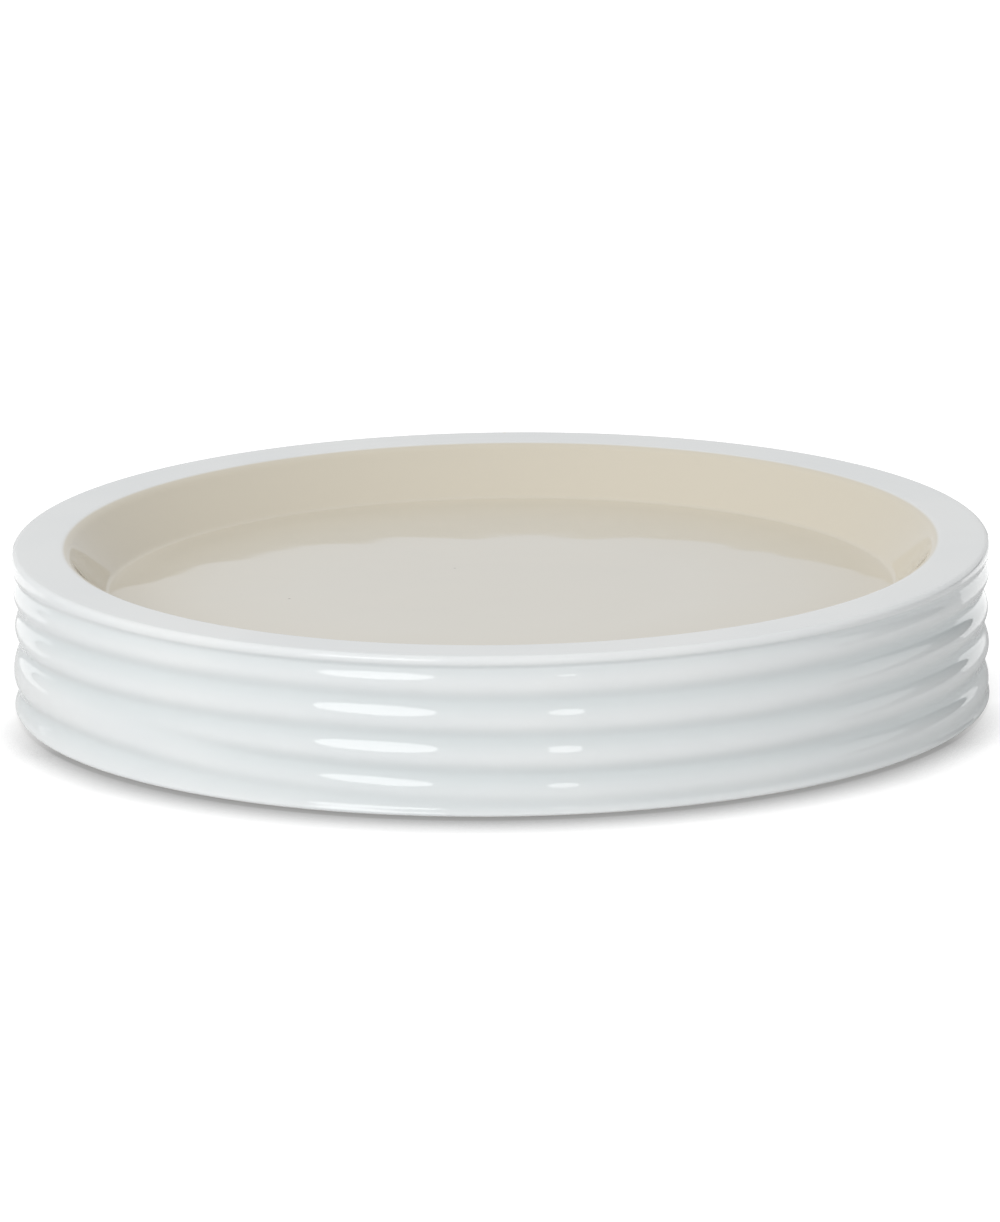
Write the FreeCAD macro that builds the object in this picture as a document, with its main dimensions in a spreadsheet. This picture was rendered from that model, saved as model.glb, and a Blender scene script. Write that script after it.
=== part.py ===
import FreeCAD, Part
import Sketcher
import math
import os

# Round stoneware soap dish: a glazed body with wandering throwing rings round its wall,
# standing on four clear anti-slip pads. Millimetres, +Z up, the origin under the middle
# of the dish on the surface it stands on, and the front of the dish towards -Y.

doc = FreeCAD.newDocument("soap_dish")

# Sizes of the dish

sheet = doc.addObject("Spreadsheet::Sheet", "Sizes")
sizes = (
    # the body as a whole
    ("lip_radius", 65.0),
    ("body_height", 21.4),
    ("cut_overrun", 2.0),
    # the rounded outer edges of the lip and the foot
    ("lip_outer_round", 0.8),
    ("foot_outer_round", 0.6),
    # the hollow: the lip is as wide as it would be with a sharp corner at the mouth
    ("lip_width", 7.3),
    ("mouth_round", 2.0),
    ("hollow_depth", 6.5),
    ("hollow_slant", 5.1),
    ("floor_round", 1.0),
    ("mouth_radius", "=lip_radius - lip_width"),
    ("floor_radius", "=mouth_radius - hollow_slant"),
    # the recess under the floor, and the foot ring round it
    ("floor_thickness", 5.5),
    ("foot_ring_width", 10.1),
    ("recess_draft", 1.2),
    ("recess_round", 3.0),
    ("foot_inner_round", 1.0),
    ("foot_inner_radius", "=lip_radius - foot_ring_width"),
    # the anti-slip pads in their sockets, on the middle of the flat of the foot ring
    ("pad_diameter", 5.0),
    ("pad_height", 1.5),
    ("pad_round", 0.4),
    ("pad_lift", 0.4),
    ("socket_clearance", 0.2),
    ("foot_flat_outer", "=lip_radius - foot_outer_round"),
    ("foot_flat_inner", "=foot_inner_radius + foot_inner_round"),
    ("pad_ring_radius", "=(foot_flat_outer + foot_flat_inner) / 2"),
    # the grooves between the throwing rings: steep over their bottoms and gentle under them
    ("lip_groove_depth", 0.6),
    ("lip_groove_above", 0.5),
    ("lip_groove_below", 1.0),
    ("ring_groove_depth", 1.0),
    ("ring_groove_above", 0.95),
    ("ring_groove_below", 1.35),
    # the height over the foot within which the grooves die out
    ("foot_flare", 1.2),
)
for row, (alias, number) in enumerate(sizes, start=1):
    sheet.set("A%d" % row, alias)
    sheet.set("B%d" % row, str(number))
    sheet.setAlias("B%d" % row, alias)
doc.recompute()


def size(alias):
    """One size from the sheet, as a plain number."""
    return float(getattr(sheet, alias))


# Courses of the grooves round the wall

# Each groove is given at twelve stations, evenly spaced, from the front round by +X.
# The heights are shares of the body's height, the depths shares of the groove depth.
# The fourth groove forks off from a plain stretch, so its depth starts from nothing.
lip_groove_height_shares = (
    0.916, 0.923, 0.907, 0.883, 0.869, 0.878, 0.883, 0.874, 0.836, 0.827, 0.892, 0.911)
lip_groove_depth_shares = (
    1.00, 0.90, 0.80, 0.50, 0.50, 0.60, 0.80, 0.90, 1.00, 1.00, 0.95, 1.00)
ring_groove_height_shares = (
    (0.704, 0.708, 0.720, 0.685, 0.661, 0.675, 0.671, 0.652, 0.624, 0.628, 0.696, 0.722),
    (0.477, 0.465, 0.491, 0.472, 0.453, 0.453, 0.444, 0.430, 0.411, 0.418, 0.467, 0.493),
    (0.248, 0.240, 0.252, 0.238, 0.227, 0.236, 0.255, 0.283, 0.312, 0.340, 0.387, 0.292),
    (0.058, 0.044, 0.047, 0.047, 0.057, 0.076, 0.094, 0.113, 0.109, 0.108, 0.156, 0.112),
)
ring_groove_depth_shares = (
    (0.85, 0.85, 0.95, 1.00, 0.90, 0.80, 0.80, 0.70, 0.65, 0.80, 0.90, 0.80),
    (0.90, 0.80, 0.85, 0.85, 0.70, 0.70, 0.80, 0.90, 0.95, 1.00, 0.90, 0.80),
    (0.90, 0.85, 0.85, 0.85, 0.70, 0.60, 0.35, 0.00, 0.00, 0.00, 0.00, 0.75),
    (0.55, 0.50, 0.40, 0.35, 0.50, 0.70, 0.85, 0.95, 1.00, 0.95, 0.75, 0.60),
)


def at_angle(stations, angle):
    """The value of a course at an angle in degrees, smooth and closed round the wall."""
    place = (angle / 360.0) % 1.0 * len(stations)
    index = int(place)
    part = place - index
    before, here, there, after = (
        stations[(index + step) % len(stations)] for step in (-1, 0, 1, 2))
    rise = (there - before) / 2.0
    next_rise = (after - here) / 2.0
    gap = there - here
    bend = 3.0 * gap - 2.0 * rise - next_rise
    twist = rise + next_rise - 2.0 * gap
    return here + part * (rise + part * (bend + part * twist))


def notch(above, kind):
    """A groove's section at a height above its bottom: 1 in the bottom, and falling away
    like a bell curve, faster over the bottom than under it."""
    reach = size(kind + "_above") if above > 0 else size(kind + "_below")
    return math.exp(-((above / reach) ** 2) / 2.0)


def groove_cut(angle, height):
    """How deep the grooves cut into the wall at an angle and a height over the foot."""
    body_height = size("body_height")
    cut = 0.0
    for heights, depths in zip(ring_groove_height_shares, ring_groove_depth_shares):
        bottom = at_angle(heights, angle) * body_height
        depth = at_angle(depths, angle) * size("ring_groove_depth")
        cut += depth * notch(height - bottom, "ring_groove")
    bottom = at_angle(lip_groove_height_shares, angle) * body_height
    depth = at_angle(lip_groove_depth_shares, angle) * size("lip_groove_depth")
    cut += depth * notch(height - bottom, "lip_groove")
    # the grooves die out towards both rounded edges, so that the edges themselves stay round
    lip_room = (body_height - height) / size("lip_outer_round") - 1.0
    foot_room = height / size("foot_flare")
    return cut * smooth(lip_room) * smooth(foot_room)


def smooth(share):
    """A step from 0 to 1 without corners."""
    share = min(max(share, 0.0), 1.0)
    return share * share * (3.0 - 2.0 * share)


# The blank of the body: a closed outside with no hollow yet

STATION_COUNT = 90
EDGE_ROW_COUNT = 6
WALL_ROW_COUNT = 60


def outside_profile():
    """The section of the outside as (radius, height), foot to lip, before the grooves."""
    lip_radius = size("lip_radius")
    body_height = size("body_height")
    foot_round = size("foot_outer_round")
    lip_round = size("lip_outer_round")
    rows = []
    for row in range(EDGE_ROW_COUNT):
        turn = math.pi / 2.0 * row / EDGE_ROW_COUNT
        radius = lip_radius - foot_round * (1.0 - math.sin(turn))
        rows.append((radius, foot_round * (1.0 - math.cos(turn))))
    wall_height = body_height - foot_round - lip_round
    for row in range(WALL_ROW_COUNT + 1):
        rows.append((lip_radius, foot_round + wall_height * row / WALL_ROW_COUNT))
    for row in range(1, EDGE_ROW_COUNT + 1):
        turn = math.pi / 2.0 * row / EDGE_ROW_COUNT
        radius = lip_radius - lip_round * (1.0 - math.cos(turn))
        rows.append((radius, body_height - lip_round * (1.0 - math.sin(turn))))
    return rows


def ringed_blank():
    """A solid with the ringed wall: one closed spline face between two flat ones."""
    step = 2.0 * math.pi / STATION_COUNT
    # a closed cubic spline runs inside its poles by this much
    outward = 3.0 / (2.0 + math.cos(step))
    poles = []
    for station in range(STATION_COUNT):
        turn = station * step
        column = []
        for radius, height in outside_profile():
            reach = (radius - groove_cut(math.degrees(turn), height)) * outward
            place = (reach * math.sin(turn), -reach * math.cos(turn), height)
            column.append(FreeCAD.Vector(*place))
        poles.append(column)
    rows = len(poles[0])
    degree = 3
    around_knots = list(range(STATION_COUNT + 1))
    up_knots = list(range(rows - degree + 1))
    around_mults = [1] * len(around_knots)
    up_mults = [degree + 1] + [1] * (len(up_knots) - 2) + [degree + 1]
    wall = Part.BSplineSurface()
    wall.buildFromPolesMultsKnots(
        poles, around_mults, up_mults, around_knots, up_knots, True, False, degree, degree)
    wall_face = wall.toShape()
    # the two level edges of the wall, the low one first, each get a flat face
    rims = [edge for edge in wall_face.Edges if edge.BoundBox.ZLength < size("body_height") / 2.0]
    rims.sort(key=lambda edge: edge.BoundBox.ZMin)
    caps = [Part.Face(Part.Wire([edge])) for edge in rims]
    shell = Part.Shell([wall_face] + caps)
    shell.sewShape()
    solid = Part.Solid(shell)
    if solid.Volume < 0:
        solid.reverse()
    return solid


blank = doc.addObject("Part::Feature", "ringed_blank")
blank.Shape = ringed_blank()


# Help with sketches

UPRIGHT = FreeCAD.Vector(0, 0, 1)


def origin_plane(body, role):
    """The origin plane of a body that has this role."""
    return next(item for item in body.Origin.OriginFeatures if item.Role == role)


def bound(owner, constraint, value, rule):
    """Add a constraint to a sketch and bind its value to sizes of the sheet."""
    index = owner.addConstraint(constraint)
    owner.renameConstraint(index, value)
    owner.setExpression("Constraints." + value, rule)


def section_sketch(body, name, corners):
    """A closed outline on the body's XZ plane. Each corner is two rules over the sheet:
    its distance from the axis and its height, or None for a corner on the axis."""
    sketch = body.newObject("Sketcher::SketchObject", name)
    sketch.AttachmentSupport = [(origin_plane(body, "XZ_Plane"), "")]
    sketch.MapMode = "FlatFace"
    away = size("lip_radius")
    spread = away / len(corners)
    turns = [2.0 * math.pi * index / len(corners) for index in range(len(corners))]
    spots = [
        FreeCAD.Vector(away + spread * math.cos(turn), spread * math.sin(turn), 0)
        for turn in turns]
    lines = [
        sketch.addGeometry(Part.LineSegment(spot, spots[(index + 1) % len(spots)]), False)
        for index, spot in enumerate(spots)]
    for index, line in enumerate(lines):
        following = lines[(index + 1) % len(lines)]
        sketch.addConstraint(Sketcher.Constraint("Coincident", line, 2, following, 1))
    for index, (reach, height) in enumerate(corners):
        line = lines[index]
        if reach is None:
            sketch.addConstraint(Sketcher.Constraint("PointOnObject", line, 1, -2))
        else:
            across = Sketcher.Constraint("DistanceX", -1, 1, line, 1, spread)
            bound(sketch, across, "reach_%d" % index, reach)
        up = Sketcher.Constraint("DistanceY", -1, 1, line, 1, spread)
        bound(sketch, up, "height_%d" % index, height)
    return sketch


# how far an edge may lie from the place that it is looked for, as a share of its radius
EDGE_MATCH_SHARE = 0.001


def turned_cut(body, sketch, name):
    """Cut the sketch's outline, turned right round the vertical axis, out of the body."""
    before = body.Tip.Shape.Volume
    groove = body.newObject("PartDesign::Groove", name)
    groove.Profile = sketch
    groove.ReferenceAxis = (sketch, ["V_Axis"])
    groove.Angle = 360.0
    body.Tip = groove
    doc.recompute()
    if groove.Shape.Volume >= before:
        raise RuntimeError(name + " cuts nothing")
    return groove


def rounded(body, name, radius, height, rule):
    """Round the circular edge of the body that has this radius and height."""
    base = body.Tip
    found = []
    for index, edge in enumerate(base.Shape.Edges, start=1):
        if edge.Curve.TypeId == "Part::GeomCircle":
            off = math.hypot(edge.Curve.Radius - radius, edge.Curve.Center.z - height)
            found.append((off, "Edge%d" % index))
    off, nearest = min(found)
    if off > radius * EDGE_MATCH_SHARE:
        raise RuntimeError("no edge for " + name)
    fillet = body.newObject("PartDesign::Fillet", name)
    fillet.Base = (base, [nearest])
    fillet.setExpression("Radius", rule)
    body.Tip = fillet
    doc.recompute()
    return fillet


# The dish body

dish = doc.addObject("PartDesign::Body", "dish_body")
dish.Label = "dish_body"
dish.BaseFeature = blank
doc.recompute()

# The hollow: a flat floor and a slanted wall up to the mouth
hollow = section_sketch(dish, "hollow_section", (
    (None, "Sizes.body_height - Sizes.hollow_depth"),
    ("Sizes.floor_radius", "Sizes.body_height - Sizes.hollow_depth"),
    ("Sizes.mouth_radius", "Sizes.body_height"),
    ("Sizes.mouth_radius", "Sizes.body_height + Sizes.cut_overrun"),
    (None, "Sizes.body_height + Sizes.cut_overrun"),
))
turned_cut(dish, hollow, "hollow")

# The recess under the floor, which keeps the floor and the foot ring alike in thickness
recess = section_sketch(dish, "recess_section", (
    (None, "-Sizes.cut_overrun"),
    ("Sizes.foot_inner_radius", "-Sizes.cut_overrun"),
    ("Sizes.foot_inner_radius", "0 * Sizes.cut_overrun"),
    ("Sizes.foot_inner_radius - Sizes.recess_draft",
     "Sizes.body_height - Sizes.hollow_depth - Sizes.floor_thickness"),
    (None, "Sizes.body_height - Sizes.hollow_depth - Sizes.floor_thickness"),
))
turned_cut(dish, recess, "recess")

floor_height = size("body_height") - size("hollow_depth")
ceiling_height = floor_height - size("floor_thickness")
ceiling_radius = size("foot_inner_radius") - size("recess_draft")
rounded(dish, "mouth_rounding", size("mouth_radius"), size("body_height"), "Sizes.mouth_round")
rounded(dish, "floor_rounding", size("floor_radius"), floor_height, "Sizes.floor_round")
rounded(dish, "recess_rounding", ceiling_radius, ceiling_height, "Sizes.recess_round")
rounded(dish, "foot_rounding", size("foot_inner_radius"), 0.0, "Sizes.foot_inner_round")


def circle_sketch(body, name, diameter, place):
    """A circle on the body's XY plane. Its place is two rules over the sheet, the way along
    X and along Y, or None for a circle round the axis."""
    sketch = body.newObject("Sketcher::SketchObject", name)
    sketch.AttachmentSupport = [(origin_plane(body, "XY_Plane"), "")]
    sketch.MapMode = "FlatFace"
    across = size("pad_diameter")
    spot = size("pad_ring_radius") / math.sqrt(2.0)
    start = FreeCAD.Vector(spot, spot, 0)
    ring = sketch.addGeometry(Part.Circle(start, UPRIGHT, across / 2.0), False)
    bound(sketch, Sketcher.Constraint("Diameter", ring, across), "across", diameter)
    if place is None:
        sketch.addConstraint(Sketcher.Constraint("Coincident", ring, 3, -1, 1))
        return sketch
    for kind, rule in zip(("DistanceX", "DistanceY"), place):
        bound(sketch, Sketcher.Constraint(kind, -1, 1, ring, 3, spot), kind + "_rule", rule)
    return sketch


# The sockets for the pads, pressed into the flat of the foot ring
# half a step round from the sides, so that the pads lie between front, back and sides
pad_names = ("pad_back_right", "pad_back_left", "pad_front_left", "pad_front_right")
half_step = 180.0 / len(pad_names)
socket = circle_sketch(
    dish, "socket_outline", "Sizes.pad_diameter + 2 * Sizes.socket_clearance",
    ("Sizes.pad_ring_radius * cos(%g deg)" % half_step,
     "Sizes.pad_ring_radius * sin(%g deg)" % half_step))
before_sockets = dish.Tip.Shape.Volume
socket_cut = dish.newObject("PartDesign::Pocket", "socket")
socket_cut.Profile = socket
socket_cut.setExpression("Length", "Sizes.pad_height - Sizes.pad_lift")
socket_cut.Reversed = True
dish.Tip = socket_cut
doc.recompute()
socket_volume = before_sockets - socket_cut.Shape.Volume
sockets = dish.newObject("PartDesign::PolarPattern", "sockets")
sockets.Originals = [socket_cut]
sockets.Axis = (socket, ["N_Axis"])
sockets.Angle = 360.0
sockets.Occurrences = len(pad_names)
dish.Tip = sockets
doc.recompute()
cut_volume = before_sockets - sockets.Shape.Volume
if socket_volume <= 0 or round(cut_volume / socket_volume) != len(pad_names):
    raise RuntimeError("the sockets are not all cut")

# The body stands clear of the surface by what the pads stick out
dish.Placement = FreeCAD.Placement(
    FreeCAD.Vector(0, 0, size("pad_lift")), FreeCAD.Rotation(UPRIGHT, 0))


# The anti-slip pads

def make_pad(name, angle):
    """A clear disc with a rounded lower edge, stuck in its socket in the foot ring."""
    body = doc.addObject("PartDesign::Body", name)
    body.Label = name
    outline = circle_sketch(body, name + "_outline", "Sizes.pad_diameter", None)
    disc = body.newObject("PartDesign::Pad", name + "_disc")
    disc.Profile = outline
    disc.setExpression("Length", "Sizes.pad_height")
    body.Tip = disc
    doc.recompute()
    rounded(body, name + "_edge", size("pad_diameter") / 2.0, 0.0, "Sizes.pad_round")
    reach = size("pad_ring_radius")
    turn = math.radians(angle)
    body.Placement = FreeCAD.Placement(
        FreeCAD.Vector(reach * math.cos(turn), reach * math.sin(turn), 0),
        FreeCAD.Rotation(UPRIGHT, angle))
    return body


pads = [
    make_pad(name, half_step + index * 2.0 * half_step)
    for index, name in enumerate(pad_names)]

# Check and write

doc.recompute()
for item in doc.Objects:
    if "Invalid" in item.State or "Error" in item.State:
        raise RuntimeError(item.Name + " failed")
os.makedirs("parts", exist_ok=True)
for piece in [dish] + pads:
    shape = piece.Shape
    if shape.isNull() or not shape.isValid() or len(shape.Solids) != 1:
        raise RuntimeError(piece.Label + " is not one sound solid")
    shape.exportStep("parts/%s.step" % piece.Label)
    box = shape.BoundBox
    print("%s volume %.1f box %.2f %.2f %.2f to %.2f %.2f %.2f" % (
        piece.Label, shape.Volume, box.XMin, box.YMin, box.ZMin, box.XMax, box.YMax, box.ZMax))
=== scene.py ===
import math

import bpy
import numpy as np
from mathutils import Matrix, Vector


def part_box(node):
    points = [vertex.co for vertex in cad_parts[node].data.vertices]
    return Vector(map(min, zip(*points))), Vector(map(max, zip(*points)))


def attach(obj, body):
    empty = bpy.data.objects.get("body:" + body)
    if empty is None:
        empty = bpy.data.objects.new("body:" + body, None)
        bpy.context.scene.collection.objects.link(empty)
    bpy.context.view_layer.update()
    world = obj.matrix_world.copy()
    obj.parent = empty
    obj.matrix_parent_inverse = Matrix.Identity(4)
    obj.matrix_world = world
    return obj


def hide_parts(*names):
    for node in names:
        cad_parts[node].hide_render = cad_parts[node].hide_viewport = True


# A round stoneware soap dish with a clear-white gloss glaze, on four clear anti-slip pads.
# The dish faces -Y, and everything is in metres in the frame of its solids.

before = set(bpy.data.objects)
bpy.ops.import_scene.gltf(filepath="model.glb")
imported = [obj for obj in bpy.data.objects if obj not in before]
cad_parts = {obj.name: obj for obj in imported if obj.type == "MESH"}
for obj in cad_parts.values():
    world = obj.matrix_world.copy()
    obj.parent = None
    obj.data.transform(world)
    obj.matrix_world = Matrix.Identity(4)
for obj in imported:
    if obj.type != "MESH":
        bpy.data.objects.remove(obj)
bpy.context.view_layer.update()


# The dish body
# One pressed piece of white stoneware, thrown-looking: wandering, forking finger rings run
# round its wall under a thick gloss glaze. The lip is flat, and the hollow's sides slant.

MM = 0.001
body_low, body_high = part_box("dish_body")
FOOT_LEVEL = body_low.z
BODY_HEIGHT = body_high.z - body_low.z
LIP_RADIUS = (body_high.x - body_low.x) / 2.0
LIP_OUTER_ROUND = 0.8 * MM
FOOT_OUTER_ROUND = 0.6 * MM
FOOT_FLARE = 1.2 * MM
MOUTH_RADIUS = 57.7 * MM
MOUTH_ROUND = 2.0 * MM
HOLLOW_DEPTH = 6.5 * MM
FLOOR_RADIUS = 52.6 * MM
FLOOR_ROUND = 1.0 * MM
FLOOR_THICKNESS = 5.5 * MM
FOOT_INNER_RADIUS = 54.9 * MM
RECESS_DRAFT = 1.2 * MM
RECESS_ROUND = 3.0 * MM
FOOT_INNER_ROUND = 1.0 * MM
BODY_COLUMNS = 480
WALL_ROWS = 100

# The grooves between the rings, each at twelve stations from the front round by +X:
# heights as shares of the body's height, depths as shares of the groove depth.
LIP_GROOVE_DEPTH = 0.60 * MM
LIP_GROOVE_ABOVE = 0.50 * MM
LIP_GROOVE_BELOW = 1.00 * MM
RING_GROOVE_DEPTH = 1.00 * MM
RING_GROOVE_ABOVE = 0.95 * MM
RING_GROOVE_BELOW = 1.35 * MM
LIP_GROOVE_HEIGHT_SHARES = (
    0.916, 0.923, 0.907, 0.883, 0.869, 0.878, 0.883, 0.874, 0.836, 0.827, 0.892, 0.911)
LIP_GROOVE_DEPTH_SHARES = (
    1.00, 0.90, 0.80, 0.50, 0.50, 0.60, 0.80, 0.90, 1.00, 1.00, 0.95, 1.00)
RING_GROOVE_HEIGHT_SHARES = (
    (0.704, 0.708, 0.720, 0.685, 0.661, 0.675, 0.671, 0.652, 0.624, 0.628, 0.696, 0.722),
    (0.477, 0.465, 0.491, 0.472, 0.453, 0.453, 0.444, 0.430, 0.411, 0.418, 0.467, 0.493),
    (0.248, 0.240, 0.252, 0.238, 0.227, 0.236, 0.255, 0.283, 0.312, 0.340, 0.387, 0.292),
    (0.058, 0.044, 0.047, 0.047, 0.057, 0.076, 0.094, 0.113, 0.109, 0.108, 0.156, 0.112),
)
RING_GROOVE_DEPTH_SHARES = (
    (0.85, 0.85, 0.95, 1.00, 0.90, 0.80, 0.80, 0.70, 0.65, 0.80, 0.90, 0.80),
    (0.90, 0.80, 0.85, 0.85, 0.70, 0.70, 0.80, 0.90, 0.95, 1.00, 0.90, 0.80),
    (0.90, 0.85, 0.85, 0.85, 0.70, 0.60, 0.35, 0.00, 0.00, 0.00, 0.00, 0.75),
    (0.55, 0.50, 0.40, 0.35, 0.50, 0.70, 0.85, 0.95, 1.00, 0.95, 0.75, 0.60),
)


def course(stations, turns):
    """A groove's value round the wall: a cubic through evenly spaced stations that leaves
    each with the slope between its two neighbours, closed on itself."""
    stations = np.asarray(stations)
    place = turns / (2.0 * np.pi) * len(stations)
    index = np.floor(place).astype(int)
    part = place - index
    before, here, there, after = (stations[(index + step) % len(stations)] for step in (-1, 0, 1, 2))
    rise = (there - before) / 2.0
    next_rise = (after - here) / 2.0
    gap = there - here
    bend = 3.0 * gap - 2.0 * rise - next_rise
    return here + part * (rise + part * (bend + part * (rise + next_rise - 2.0 * gap)))


def notch(above, reach_above, reach_below):
    """A groove's section at a height above its bottom: one in the bottom and falling away
    like a bell curve, faster over the bottom than under it."""
    reach = np.where(above > 0.0, reach_above, reach_below)
    return np.exp(-((above / reach) ** 2) / 2.0)


def eased(share):
    """A step from nought to one whose slope is level at both ends."""
    share = np.clip(share, 0.0, 1.0)
    return share * share * (3.0 - 2.0 * share)


def groove_cut(turns, heights):
    """Depth of the grooves at a turn round the wall and a height over the foot: the sum of
    all notches, each round its own course, eased out in the rounded lip and foot edges."""
    cut = 0.0
    for middles, depths in zip(RING_GROOVE_HEIGHT_SHARES, RING_GROOVE_DEPTH_SHARES):
        above = heights - course(middles, turns) * BODY_HEIGHT
        depth = course(depths, turns) * RING_GROOVE_DEPTH
        cut = cut + depth * notch(above, RING_GROOVE_ABOVE, RING_GROOVE_BELOW)
    above = heights - course(LIP_GROOVE_HEIGHT_SHARES, turns) * BODY_HEIGHT
    depth = course(LIP_GROOVE_DEPTH_SHARES, turns) * LIP_GROOVE_DEPTH
    cut = cut + depth * notch(above, LIP_GROOVE_ABOVE, LIP_GROOVE_BELOW)
    lip_room = (BODY_HEIGHT - heights) / LIP_OUTER_ROUND - 1.0
    return cut * eased(lip_room) * eased(heights / FOOT_FLARE)


def arc(centre, radius, start, end, count):
    """Points (reach, height) on a circle's arc from one angle to another, in degrees."""
    angles = np.radians(np.linspace(start, end, count))
    return np.stack([centre[0] + radius * np.cos(angles), centre[1] + radius * np.sin(angles)], 1)


def run(start, end, count):
    """Points on a straight run, without its ends, drawn closer together near both ends."""
    share = (1.0 - np.cos(np.linspace(0.0, np.pi, count + 2)[1:-1])) / 2.0
    return np.outer(1.0 - share, start) + np.outer(share, end)


def body_profile():
    """The section of the body as (reach, height) from the middle of the floor out over the
    lip, down the wall, round the foot and in to the middle of the recess. Straight runs are
    joined by arcs that touch both, so an arc's centre is its radius off both runs. The last
    number of each arc and run is its count of points."""
    floor = BODY_HEIGHT - HOLLOW_DEPTH
    ceiling = floor - FLOOR_THICKNESS
    slope = math.atan2(HOLLOW_DEPTH, MOUTH_RADIUS - FLOOR_RADIUS)
    half_tan = math.tan(slope / 2.0)
    lean = math.degrees(slope)
    floor_centre = (FLOOR_RADIUS - FLOOR_ROUND * half_tan, floor + FLOOR_ROUND)
    mouth_centre = (MOUTH_RADIUS + MOUTH_ROUND * half_tan, BODY_HEIGHT - MOUTH_ROUND)
    lip_centre = (LIP_RADIUS - LIP_OUTER_ROUND, BODY_HEIGHT - LIP_OUTER_ROUND)
    foot_centre = (LIP_RADIUS - FOOT_OUTER_ROUND, FOOT_OUTER_ROUND)
    draft = math.atan2(RECESS_DRAFT, ceiling)
    foot_half = math.tan((math.pi / 2.0 - draft) / 2.0)
    inner_foot_centre = (FOOT_INNER_RADIUS + FOOT_INNER_ROUND * foot_half, FOOT_INNER_ROUND)
    ceiling_reach = FOOT_INNER_RADIUS - RECESS_DRAFT
    recess_centre = (ceiling_reach - RECESS_ROUND * foot_half, ceiling - RECESS_ROUND)
    draft_lean = math.degrees(draft)
    floor_arc = arc(floor_centre, FLOOR_ROUND, -90.0, lean - 90.0, 7)
    mouth_arc = arc(mouth_centre, MOUTH_ROUND, lean + 90.0, 90.0, 13)
    lip_arc = arc(lip_centre, LIP_OUTER_ROUND, 90.0, 0.0, 11)
    foot_arc = arc(foot_centre, FOOT_OUTER_ROUND, 0.0, -90.0, 9)
    inner_foot_arc = arc(inner_foot_centre, FOOT_INNER_ROUND, -90.0, -180.0 + draft_lean, 6)
    recess_arc = arc(recess_centre, RECESS_ROUND, draft_lean, 90.0, 8)
    wall_rows = np.linspace(lip_arc[-1], foot_arc[0], WALL_ROWS + 2)[1:-1]
    return np.concatenate([
        run((0.0, floor), floor_arc[0], 5), floor_arc,
        run(floor_arc[-1], mouth_arc[0], 5), mouth_arc,
        run(mouth_arc[-1], lip_arc[0], 3), lip_arc,
        wall_rows, foot_arc,
        run(foot_arc[-1], inner_foot_arc[0], 3), inner_foot_arc,
        run(inner_foot_arc[-1], recess_arc[0], 3), recess_arc,
        run(recess_arc[-1], (0.0, ceiling), 4)])


def turned_mesh(name, reaches, heights, turns, top_pole, bottom_pole):
    """A closed skin from two grids, rows along the section by columns round the axis:
    x is reach times sine of the turn, y is minus reach times its cosine. The first and last
    rows close on a pole point each. Rows run from the inside outwards over the top."""
    rows, columns = reaches.shape
    places = np.stack([reaches * np.sin(turns), -reaches * np.cos(turns), heights], -1)
    points = np.concatenate([places.reshape(-1, 3), [top_pole, bottom_pole]])
    index = np.arange(rows * columns).reshape(rows, columns)
    after = np.roll(index, -1, axis=1)
    quads = np.stack([index[:-1], index[1:], after[1:], after[:-1]], -1).reshape(-1, 4)
    first = np.full(columns, rows * columns)
    top_fan = np.stack([first, index[0], after[0]], -1)
    bottom_fan = np.stack([first + 1, after[-1], index[-1]], -1)
    mesh = bpy.data.meshes.new(name)
    mesh.from_pydata(points.tolist(), [], quads.tolist() + top_fan.tolist() + bottom_fan.tolist())
    mesh.shade_smooth()
    mesh.update()
    piece = bpy.data.objects.new(name, mesh)
    bpy.context.scene.collection.objects.link(piece)
    return piece


profile = body_profile()
turns = np.linspace(0.0, 2.0 * np.pi, BODY_COLUMNS, endpoint=False)[None, :]
turns = turns + np.zeros((len(profile), 1))
section_reach = profile[:, :1] + np.zeros_like(turns)
section_height = profile[:, 1:] + np.zeros_like(turns)
on_outside = (section_reach > LIP_RADIUS - FOOT_OUTER_ROUND) & (
    (section_reach > LIP_RADIUS - LIP_OUTER_ROUND) | (section_height < BODY_HEIGHT / 2.0))
cut = groove_cut(turns, section_height) * on_outside
body = turned_mesh(
    "dish_glazed_body", section_reach - cut, section_height + FOOT_LEVEL, turns,
    (0.0, 0.0, BODY_HEIGHT - HOLLOW_DEPTH + FOOT_LEVEL),
    (0.0, 0.0, BODY_HEIGHT - HOLLOW_DEPTH - FLOOR_THICKNESS + FOOT_LEVEL))

# Where the glaze differs, and where shade is painted into the hollow, as shares from nought to one
BARE_HEIGHT = 0.3 * MM
BARE_MARGIN = 0.3 * MM
HOLLOW_SHADE_REACH = 0.15 * MM
HOLLOW_SHADE_BAND = 22.0 * MM
HOLLOW_SHADE_MIDDLE = 0.7


def mark(mesh, name, shares, floor_middle, recess_middle):
    """Keep one share for each point of a turned mesh: those of its grid, and of its poles."""
    values = np.append(shares, [floor_middle, recess_middle]).astype(np.float32)
    mesh.attributes.new(name, "FLOAT", "POINT").data.foreach_set("value", values)


# glaze gathers deep in a groove, and is wiped off the flat of the foot ring
on_ring = (section_height < BARE_HEIGHT) & (section_reach > FOOT_INNER_RADIUS) & (
    section_reach < LIP_RADIUS - BARE_MARGIN)
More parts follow.
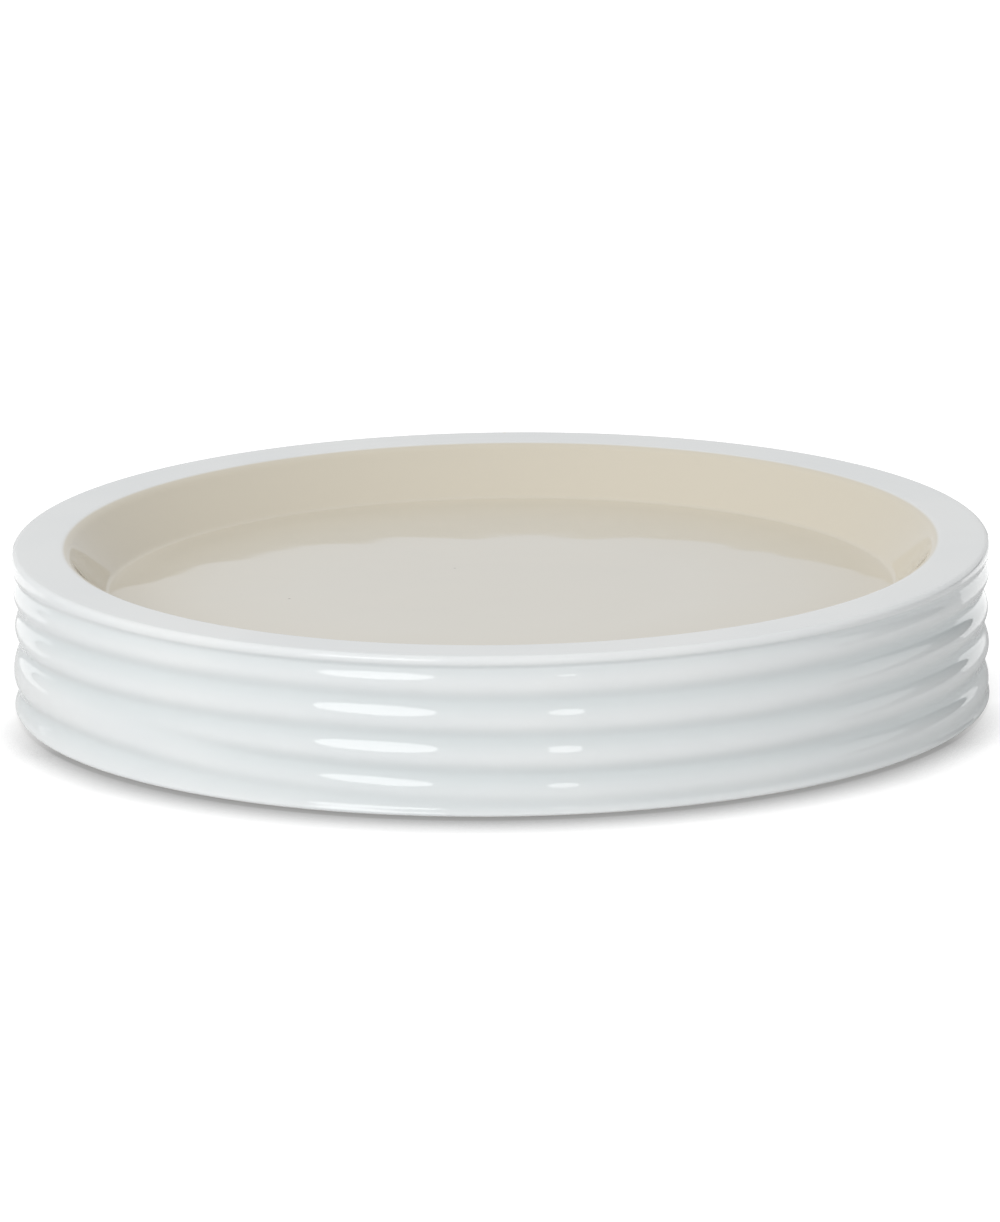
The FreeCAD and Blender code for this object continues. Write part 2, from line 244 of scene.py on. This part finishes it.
# painted shade and warm reflected light: the hollow from just under the lip, strongest in the corner
# between its side and its floor
in_hollow = (section_height > BODY_HEIGHT - HOLLOW_DEPTH - BARE_HEIGHT) & (
    section_reach < MOUTH_RADIUS + MOUTH_ROUND)
corner = eased(1.0 - (FLOOR_RADIUS - section_reach) / HOLLOW_SHADE_BAND)
under_lip = eased((BODY_HEIGHT - section_height) / HOLLOW_SHADE_REACH)
painted_hollow_shade = in_hollow * under_lip * (HOLLOW_SHADE_MIDDLE + (1.0 - HOLLOW_SHADE_MIDDLE) * corner)
mark(body.data, "groove_share", cut / RING_GROOVE_DEPTH, 0.0, 0.0)
mark(body.data, "bare_share", on_ring * 1.0, 0.0, 0.0)
mark(body.data, "hollow_painted_shade_share", painted_hollow_shade, HOLLOW_SHADE_MIDDLE, 0.0)


def linear(hex_colour):
    """An sRGB hex colour as linear red, green, blue and alpha."""
    parts = np.array([int(hex_colour[i:i + 2], 16) for i in (1, 3, 5)]) / 255.0
    curved = ((parts + 0.055) / 1.055) ** 2.4
    return tuple(np.where(parts <= 0.04045, parts / 12.92, curved)) + (1.0,)


def node(tree, kind, settings=None, inputs=None):
    """Add one node. Settings are its properties; an input is a value, or a socket to link."""
    made = tree.nodes.new("ShaderNode" + kind)
    for name, value in (settings or {}).items():
        setattr(made, name, value)
    for name, value in (inputs or {}).items():
        if isinstance(value, bpy.types.NodeSocket):
            tree.links.new(value, made.inputs[name])
        else:
            made.inputs[name].default_value = value
    return made


def new_material(name):
    """An empty material and its node tree."""
    material = bpy.data.materials.new(name)
    material.use_nodes = True
    material.node_tree.nodes.clear()
    return material, material.node_tree


# Colours and grain of the glaze and the fired body. A speck is its seed, its colour, and in
# millimetres the cell that holds one speck and its reach.
GLAZE_DULL = "#DDE0E1"
GLAZE_CLEAR = "#E2E4E4"
GLAZE_POOLED = "#D3D9DA"
# painted shade and warm reflected light for the hollow, darker and warmer than the glaze
HOLLOW_SHADE_COLOUR = "#CFC8B8"
SPECKS = ((0.0, "#8C8A80", 12.0, 0.30), (37.0, "#CFC3A6", 16.0, 0.55))
SPECK_STRENGTH = 0.8
STONEWARE_DARK = "#D9D2C2"
STONEWARE_PALE = "#E6E0D3"
GLAZE_ROUGHNESS = 0.035
STONEWARE_ROUGHNESS = 0.75
GLAZE_IOR = 1.52
CLOUD_SIZE = 28.0 * MM
CLOUD_START = 0.35
CLOUD_END = 0.65
RIPPLE_SIZE = 16.0 * MM
RELIEF_DEPTH = 0.16 * MM
# drawn coarser than the fine grain of fired stoneware, so that it shows
GRAIN_SIZE = 0.7 * MM


def glazed_stoneware():
    """Clear-white gloss glaze on white stoneware: dipped, so that it clouds softly, gathers
    cooler in the grooves, ripples faintly and holds a few dark specks and pinholes. The hollow
    is painted darker and warmer, a painted shade and painted warm reflected light. The foot
    ring is wiped bare before firing, and shows the matt body."""
    material, tree = new_material("glazed_stoneware")
    place = node(tree, "TexCoord").outputs["Object"]
    groove = node(tree, "Attribute", {"attribute_name": "groove_share"}).outputs["Fac"]
    bare = node(tree, "Attribute", {"attribute_name": "bare_share"}).outputs["Fac"]
    hollow_shade = node(tree, "Attribute", {"attribute_name": "hollow_painted_shade_share"}).outputs["Fac"]
    cloud = node(tree, "TexNoise", None, {
        "Vector": place, "Scale": 1.0 / CLOUD_SIZE, "Detail": 2.0, "Roughness": 0.5}).outputs["Fac"]
    clouded = node(tree, "ValToRGB", None, {"Fac": cloud})
    clouded.color_ramp.elements[0].position = CLOUD_START
    clouded.color_ramp.elements[0].color = linear(GLAZE_DULL)
    clouded.color_ramp.elements[1].position = CLOUD_END
    clouded.color_ramp.elements[1].color = linear(GLAZE_CLEAR)
    pooled = node(tree, "Mix", {"data_type": "RGBA"}, {
        0: groove, 6: clouded.outputs["Color"], 7: linear(GLAZE_POOLED)}).outputs[2]
    # the hollow takes the painted shade and warm reflected light
    hollow_shaded = node(tree, "Mix", {"data_type": "RGBA"}, {
        0: hollow_shade, 6: pooled, 7: linear(HOLLOW_SHADE_COLOUR)}).outputs[2]
    # a speck is where a scattered point lies just under the surface
    specked = hollow_shaded
    for seed, colour, cell, reach in SPECKS:
        shifted = node(tree, "VectorMath", {"operation": "ADD"}, {
            0: place, 1: (seed * MM, seed * MM, seed * MM)}).outputs[0]
        away = node(tree, "TexVoronoi", None, {
            "Vector": shifted, "Scale": 1.0 / (cell * MM)}).outputs["Distance"]
        speck = node(tree, "MapRange", {"interpolation_type": "SMOOTHSTEP"}, {
            "Value": away, "From Min": 0.5 * reach / cell, "From Max": reach / cell,
            "To Min": SPECK_STRENGTH, "To Max": 0.0}).outputs[0]
        specked = node(tree, "Mix", {"data_type": "RGBA"}, {
            0: speck, 6: specked, 7: linear(colour)}).outputs[2]
    grain = node(tree, "TexNoise", None, {
        "Vector": place, "Scale": 1.0 / GRAIN_SIZE, "Detail": 3.0}).outputs["Fac"]
    fired_body = node(tree, "Mix", {"data_type": "RGBA"}, {
        0: grain, 6: linear(STONEWARE_DARK), 7: linear(STONEWARE_PALE)}).outputs[2]
    colour = node(tree, "Mix", {"data_type": "RGBA"}, {0: bare, 6: specked, 7: fired_body}).outputs[2]
    roughness = node(tree, "Mix", {"data_type": "FLOAT"}, {
        0: bare, 2: GLAZE_ROUGHNESS, 3: STONEWARE_ROUGHNESS}).outputs[0]
    ripple = node(tree, "TexNoise", None, {
        "Vector": place, "Scale": 1.0 / RIPPLE_SIZE, "Detail": 1.0}).outputs["Fac"]
    relief = node(tree, "Mix", {"data_type": "FLOAT"}, {0: bare, 2: ripple, 3: grain}).outputs[0]
    bump = node(tree, "Bump", None, {
        "Height": relief, "Strength": 1.0, "Distance": RELIEF_DEPTH}).outputs["Normal"]
    shader = node(tree, "BsdfPrincipled", None, {
        "Base Color": colour, "Roughness": roughness, "IOR": GLAZE_IOR, "Normal": bump})
    node(tree, "OutputMaterial", None, {"Surface": shader.outputs["BSDF"]})
    return material


body.data.materials.append(glazed_stoneware())
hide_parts("dish_body")
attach(body, "root")


# The anti-slip pads
# Four discs of cast clear polyurethane, soft and flat, with a rounded lower edge. Each is
# stuck into a socket in the foot ring. The dish hides them, so their sizes are guessed.

PAD_EDGE_ROUND = 0.4 * MM
SOCKET_CLEARANCE = 0.2 * MM
PAD_COLUMNS = 64
PAD_COLOUR = "#E6E8E4"
PAD_ROUGHNESS = 0.25
PAD_IOR = 1.49
PAD_CLARITY = 0.85
# an edge of the body that turns by more than this is drawn crisp: the rims of the sockets
CRISP_TURN = math.radians(50.0)


def clear_polyurethane():
    """Cast clear polyurethane: soft, faintly milky, with a satin skin."""
    material, tree = new_material("clear_polyurethane")
    shader = node(tree, "BsdfPrincipled", None, {
        "Base Color": linear(PAD_COLOUR), "Roughness": PAD_ROUGHNESS, "IOR": PAD_IOR,
        "Transmission Weight": PAD_CLARITY})
    node(tree, "OutputMaterial", None, {"Surface": shader.outputs["BSDF"]})
    return material


def press_socket(piece, middle, radius, top):
    """Cut a round socket up into a piece, from below its foot to the height of its top."""
    socket_turns = np.linspace(0.0, 2.0 * np.pi, PAD_COLUMNS, endpoint=False)[None, :]
    socket_heights = np.array([[top], [-top]]) + 0.0 * socket_turns
    cutter = turned_mesh(
        "socket", np.full((2, PAD_COLUMNS), radius), socket_heights, socket_turns,
        (0.0, 0.0, top), (0.0, 0.0, -top))
    cutter.data.transform(Matrix.Translation((middle.x, middle.y, 0.0)))
    cutting = piece.modifiers.new("socket", "BOOLEAN")
    cutting.operation = "DIFFERENCE"
    cutting.object = cutter
    cut_piece = piece.evaluated_get(bpy.context.evaluated_depsgraph_get())
    whole = piece.data
    piece.data = bpy.data.meshes.new_from_object(cut_piece)
    piece.modifiers.clear()
    bpy.data.objects.remove(cutter)
    bpy.data.meshes.remove(whole)


pad_material = clear_polyurethane()
for pad_node in sorted(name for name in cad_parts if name.startswith("pad_")):
    pad_low, pad_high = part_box(pad_node)
    middle = (pad_low + pad_high) / 2.0
    radius = (pad_high.x - pad_low.x) / 2.0
    press_socket(body, middle, radius + SOCKET_CLEARANCE, pad_high.z)
    edge = arc((radius - PAD_EDGE_ROUND, PAD_EDGE_ROUND), PAD_EDGE_ROUND, 0.0, -90.0, 7)
    outline = np.concatenate([
        run((0.0, pad_high.z), (radius, pad_high.z), 3), [(radius, pad_high.z)],
        run((radius, pad_high.z), edge[0], 2), edge, run(edge[-1], (0.0, 0.0), 3)])
    pad_turns = np.linspace(0.0, 2.0 * np.pi, PAD_COLUMNS, endpoint=False)[None, :]
    pad_turns = pad_turns + np.zeros((len(outline), 1))
    pad = turned_mesh(
        pad_node + "_clear", outline[:, :1] + 0.0 * pad_turns, outline[:, 1:] + 0.0 * pad_turns,
        pad_turns, (0.0, 0.0, pad_high.z), (0.0, 0.0, 0.0))
    pad.data.transform(Matrix.Translation((middle.x, middle.y, 0.0)))
    pad.data.materials.append(pad_material)
    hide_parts(pad_node)
    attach(pad, "root")

body.data.set_sharp_from_angle(angle=CRISP_TURN)


# The table
# A round, matt white table that runs out of view. It is open under the dish and clear from
# below, so that the dish's underside can be seen and gets light.

TABLE_REACH = 3.0
TABLE_OPENING = 62.0 * MM
TABLE_DROP = 0.02 * MM
TABLE_SIDES = 96
TABLE_PAINT = "#EAEAEA"
TABLE_SEEN = "#989898"
TABLE_LIFT = 0.92
SHADOW_REACH = 20.0 * MM
SHADOW_SAMPLES = 16
SHADOW_DEPTH = 0.67
# the shares of open sky at which the shadow is full and gone
SHADOW_FULL = 0.47
SHADOW_GONE = 0.95
# places from the front to the back between which the shadow narrows and turns paler
SHADOW_NARROWS = -46.0 * MM
SHADOW_PALES = -27.0 * MM
SHADOW_BEHIND = -4.0 * MM
SHADOW_PALE_SHARE = 0.25
FRONT_FALLOFF = 1.5
BACK_FALLOFF = 3.0


def white_table():
    """Matt white paint. The camera sees it lifted to clean white, and darkened towards the
    dish by a soft contact shadow: one less the shadow's depth times the eased share of the
    sky that the dish hides from the table, raised to a power that grows towards the back,
    where the shadow also turns paler. From below, the table is clear."""
    material, tree = new_material("white_table")
    hidden = node(tree, "AmbientOcclusion", {"samples": SHADOW_SAMPLES}, {
        "Distance": SHADOW_REACH}).outputs["AO"]
    eased_share = node(tree, "MapRange", {"interpolation_type": "SMOOTHSTEP"}, {
        "Value": hidden, "From Min": SHADOW_FULL, "From Max": SHADOW_GONE,
        "To Min": 1.0, "To Max": 0.0}).outputs[0]
    place = node(tree, "TexCoord").outputs["Object"]
    back_way = node(tree, "SeparateXYZ", None, {0: place}).outputs["Y"]
    in_front = node(tree, "MapRange", None, {
        "Value": back_way, "From Min": SHADOW_PALES, "From Max": SHADOW_BEHIND,
        "To Min": 1.0, "To Max": SHADOW_PALE_SHARE}).outputs[0]
    falloff = node(tree, "MapRange", None, {
        "Value": back_way, "From Min": SHADOW_NARROWS, "From Max": SHADOW_BEHIND,
        "To Min": FRONT_FALLOFF, "To Max": BACK_FALLOFF}).outputs[0]
    powered = node(tree, "Math", {"operation": "POWER"}, {0: eased_share, 1: falloff}).outputs[0]
    shade = node(tree, "Math", {"operation": "MULTIPLY"}, {0: powered, 1: in_front}).outputs[0]
    path = node(tree, "LightPath").outputs["Is Camera Ray"]
    depth = node(tree, "Math", {"operation": "MULTIPLY"}, {0: shade, 1: SHADOW_DEPTH}).outputs[0]
    shaded = node(tree, "Mix", {"data_type": "RGBA"}, {
        0: depth, 6: linear(TABLE_SEEN), 7: linear("#000000")}).outputs[2]
    colour = node(tree, "Mix", {"data_type": "RGBA"}, {
        0: path, 6: linear(TABLE_PAINT), 7: shaded}).outputs[2]
    matt = node(tree, "BsdfDiffuse", None, {"Color": colour}).outputs["BSDF"]
    lit = node(tree, "Math", {"operation": "SUBTRACT"}, {0: 1.0, 1: depth}).outputs[0]
    seen = node(tree, "Math", {"operation": "MULTIPLY"}, {0: lit, 1: path}).outputs[0]
    lift = node(tree, "Math", {"operation": "MULTIPLY"}, {0: seen, 1: TABLE_LIFT}).outputs[0]
    glow = node(tree, "Emission", None, {"Strength": lift}).outputs["Emission"]
    both = node(tree, "AddShader", None, {0: matt, 1: glow}).outputs["Shader"]
    under = node(tree, "NewGeometry").outputs["Backfacing"]
    clear = node(tree, "BsdfTransparent").outputs["BSDF"]
    either = node(tree, "MixShader", None, {0: under, 1: both, 2: clear}).outputs["Shader"]
    node(tree, "OutputMaterial", None, {"Surface": either})
    return material


table_mesh = bpy.data.meshes.new("table")
way = np.linspace(0.0, 2.0 * np.pi, TABLE_SIDES, endpoint=False)
rim = np.stack([np.sin(way), -np.cos(way), 0.0 * way], 1)
around = np.arange(TABLE_SIDES)
onward = np.roll(around, -1)
quads = np.stack([around, around + TABLE_SIDES, onward + TABLE_SIDES, onward], 1)
corners = np.concatenate([rim * TABLE_OPENING, rim * TABLE_REACH]) - (0.0, 0.0, TABLE_DROP)
table_mesh.from_pydata(corners.tolist(), [], quads.tolist())
table_mesh.materials.append(white_table())
table = bpy.data.objects.new("table", table_mesh)
bpy.context.scene.collection.objects.link(table)


# The light of the studio
# A white room, dim for matt surfaces and white where it is mirrored or seen, two bright lamps
# in front that show in the glaze, six even ones that don't, and three cards mirrored in it.

ROOM_DIM = 0.33
ROOM_WHITE = 1.0

world = bpy.data.worlds.new("studio")
bpy.context.scene.world = world
world.use_nodes = True
world.node_tree.nodes.clear()
sky = world.node_tree
sky_path = node(sky, "LightPath")
sky_mirrored = node(sky, "Math", {"operation": "MAXIMUM"}, {
    0: sky_path.outputs["Is Glossy Ray"], 1: sky_path.outputs["Is Transmission Ray"]}).outputs[0]
sky_seen = node(sky, "Math", {"operation": "MAXIMUM"}, {
    0: sky_path.outputs["Is Camera Ray"], 1: sky_mirrored}).outputs[0]
sky_level = node(sky, "Mix", {"data_type": "FLOAT"}, {
    0: sky_seen, 2: ROOM_DIM, 3: ROOM_WHITE}).outputs[0]
sky_light = node(sky, "Background", None, {"Strength": sky_level}).outputs["Background"]
node(sky, "OutputWorld", None, {"Surface": sky_light})


def soft_lamp(name, azimuth, elevation, distance, width, height, radiance, shape="RECTANGLE"):
    """A soft lamp that faces the dish. The azimuth is in degrees from the front round by
    +X, the elevation in degrees over the table, and a radiance of one looks white. Its power
    is the radiance times pi times its area."""
    lamp = bpy.data.lights.new(name, "AREA")
    lamp.shape = shape
    lamp.size = width
    lamp.size_y = height
    share = math.pi / 4.0 if shape == "ELLIPSE" else 1.0
    lamp.energy = radiance * math.pi * width * height * share
    holder = bpy.data.objects.new(name, lamp)
    turn, rise = math.radians(azimuth), math.radians(elevation)
    away = Vector((math.sin(turn) * math.cos(rise), -math.cos(turn) * math.cos(rise), math.sin(rise)))
    holder.rotation_euler = away.to_track_quat("Z", "Y").to_euler()
    holder.location = away * distance
    holder.visible_camera = False
    bpy.context.scene.collection.objects.link(holder)
    return holder


soft_lamp("front_left", -31.0, 30.0, 1.2, 0.64, 0.60, 3.8, "ELLIPSE")
soft_lamp("front_right", 15.0, 26.5, 1.2, 0.16, 0.14, 3.5, "ELLIPSE")

# lamps that light the dish evenly, and are kept from being mirrored in the glaze
for even in (soft_lamp("overhead", 180.0, 80.0, 1.3, 1.50, 1.50, 1.00),
             soft_lamp("fill_front", -16.0, 28.0, 1.2, 0.80, 0.40, 3.7),
             soft_lamp("fill_left", -95.0, 24.0, 1.2, 0.80, 0.40, 3.2),
             soft_lamp("fill_right", 58.0, 15.0, 1.2, 0.80, 0.40, 2.1),
             soft_lamp("back_left", -139.0, 4.2, 1.2, 0.92, 0.17, 0.3),
             soft_lamp("back_right", 138.5, 4.2, 1.2, 0.39, 0.17, 1.4)):
    even.visible_glossy = False

CARD_LIFT = 1.0 * MM


def card(name, corners, colour, radiance):
    """A flat card of the studio, mirrored in the glaze and not seen by the camera. The
    corners are (azimuth, distance, height), and a card may glow."""
    material, tree = new_material(name)
    plain = node(tree, "BsdfDiffuse", None, {"Color": linear(colour)}).outputs["BSDF"]
    glow = node(tree, "Emission", None, {"Strength": radiance}).outputs["Emission"]
    both = node(tree, "AddShader", None, {0: plain, 1: glow}).outputs["Shader"]
    node(tree, "OutputMaterial", None, {"Surface": both})
    spots = []
    for azimuth, distance, height in corners:
        turn = math.radians(azimuth)
        spots.append((distance * math.sin(turn), -distance * math.cos(turn), height))
    mesh = bpy.data.meshes.new(name)
    mesh.from_pydata(spots, [], [tuple(range(len(spots)))])
    mesh.materials.append(material)
    holder = bpy.data.objects.new(name, mesh)
    holder.visible_camera = False
    bpy.context.scene.collection.objects.link(holder)
    return holder


# a black card that stands at the right, mirrored as dark bands beside the bright ones
black_card = card(
    "black_card",
    ((81.0, 0.9, 0.0), (146.0, 0.9, 0.0), (152.0, 0.9, 0.12), (81.0, 0.9, 0.12)), "#1C1C1C", 0.0)
black_card.visible_diffuse = False
black_card.visible_shadow = False
# two shining cards that lie on the table behind, mirrored as streaks in both flanks
card("card_left", (
    (-103.0, 0.11, CARD_LIFT), (-128.0, 0.88, CARD_LIFT),
    (-162.0, 0.88, CARD_LIFT), (-134.0, 0.10, CARD_LIFT)), "#FFFFFF", 0.32)
card("card_right", (
    (106.0, 0.11, CARD_LIFT), (131.0, 0.88, CARD_LIFT),
    (162.0, 0.88, CARD_LIFT), (134.0, 0.10, CARD_LIFT)), "#FFFFFF", 0.50)


# The camera
# It stands as the photograph's did, fitted to the lip and the foot of the dish: its distance,
# pitch and roll, and how far its aim lies from the dish's origin.

PHOTO_HEIGHT_PIXELS = 1222.0
FOCAL_PIXELS = 15789.0
SENSOR = 36.0
CAMERA_DISTANCE = 2104.3 * MM
CAMERA_PITCH = math.radians(13.60)
CAMERA_ROLL = math.radians(0.73)
AIM_SIDE = 0.18 * MM
AIM_RISE = -11.84 * MM

right = Vector((1.0, 0.0, 0.0))
up = Vector((0.0, math.sin(CAMERA_PITCH), math.cos(CAMERA_PITCH)))
ahead = Vector((0.0, math.cos(CAMERA_PITCH), -math.sin(CAMERA_PITCH)))
across = right * math.cos(CAMERA_ROLL) - up * math.sin(CAMERA_ROLL)
upward = right * math.sin(CAMERA_ROLL) + up * math.cos(CAMERA_ROLL)
camera_data = bpy.data.cameras.new("camera")
camera_data.sensor_width = SENSOR
camera_data.lens = FOCAL_PIXELS * SENSOR / PHOTO_HEIGHT_PIXELS
camera = bpy.data.objects.new("camera", camera_data)
stand = right * -AIM_SIDE - up * AIM_RISE - ahead * CAMERA_DISTANCE
axes = Matrix((across, upward, -ahead)).transposed()
camera.matrix_world = Matrix.Translation(stand) @ axes.to_4x4()
bpy.context.scene.collection.objects.link(camera)
bpy.context.scene.camera = camera
bpy.context.scene.view_settings.view_transform = "Standard"
